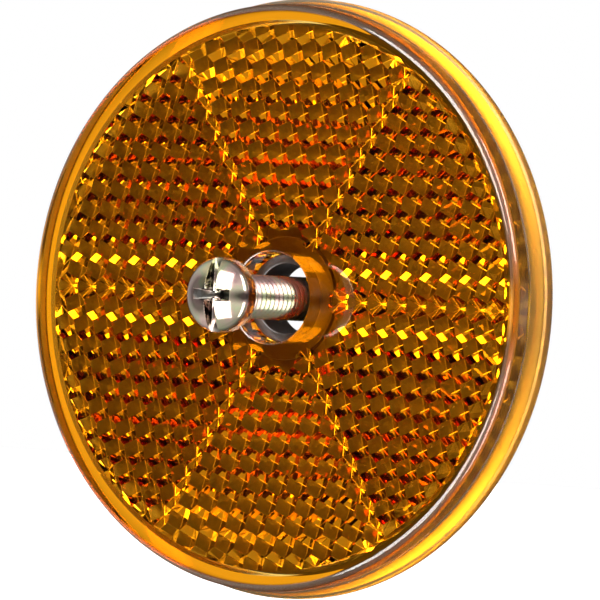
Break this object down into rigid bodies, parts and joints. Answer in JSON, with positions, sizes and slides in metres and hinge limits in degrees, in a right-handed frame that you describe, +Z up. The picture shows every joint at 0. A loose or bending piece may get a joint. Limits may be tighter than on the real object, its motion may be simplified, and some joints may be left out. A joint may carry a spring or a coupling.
{
  "type": "round screw-on reflex reflector",
  "caption": "Round amber screw-on reflex reflector: clear prism lens with a dark back plate and hub, a central through hole, machine screw, washers and nut.",
  "frame": {"origin": "on the disc's axis, in the plane of the lens's back rim, where the reflector is clamped", "axes": "+Y along the disc's axis towards the back (the lens faces -Y), +Z up, +X to the right seen from the front"},
  "size_m": [0.08, 0.039, 0.08],
  "materials": {
    "amber_lens": "clear amber acrylic, polished, with a satin band on its side",
    "dark_plate": "very dark brown moulded plastic, semi-gloss",
    "zinc_screw": "yellow passivated zinc, slightly iridescent",
    "zinc_hardware": "clear passivated zinc"
  },
  "bodies": {
    "reflector": {"lens": "amber_lens", "back_plate": "dark_plate"},
    "screw": {"screw": "zinc_screw"},
    "washers": {"flat_washer": "zinc_hardware", "spring_washer": "zinc_hardware"},
    "nut": {"nut": "zinc_hardware"}
  },
  "joints": [
    {"name": "screw_slide", "type": "slide", "parent": "reflector", "child": "screw", "axis": [0, 1, 0], "range_m": [0, 0.0139]},
    {"name": "washer_travel", "type": "slide", "parent": "screw", "child": "washers", "axis": [0, -1, 0], "range_m": [0, 0.005]},
    {"name": "nut_spin", "type": "hinge", "parent": "washers", "child": "nut", "pos_m": [0, 0, 0], "axis": [0, -1, 0], "range_deg": [0, 1800]}
  ],
  "couplings": [
    {"joint": "nut_spin", "follows": "washer_travel", "rad_per_m": 6283.2}
  ]
}
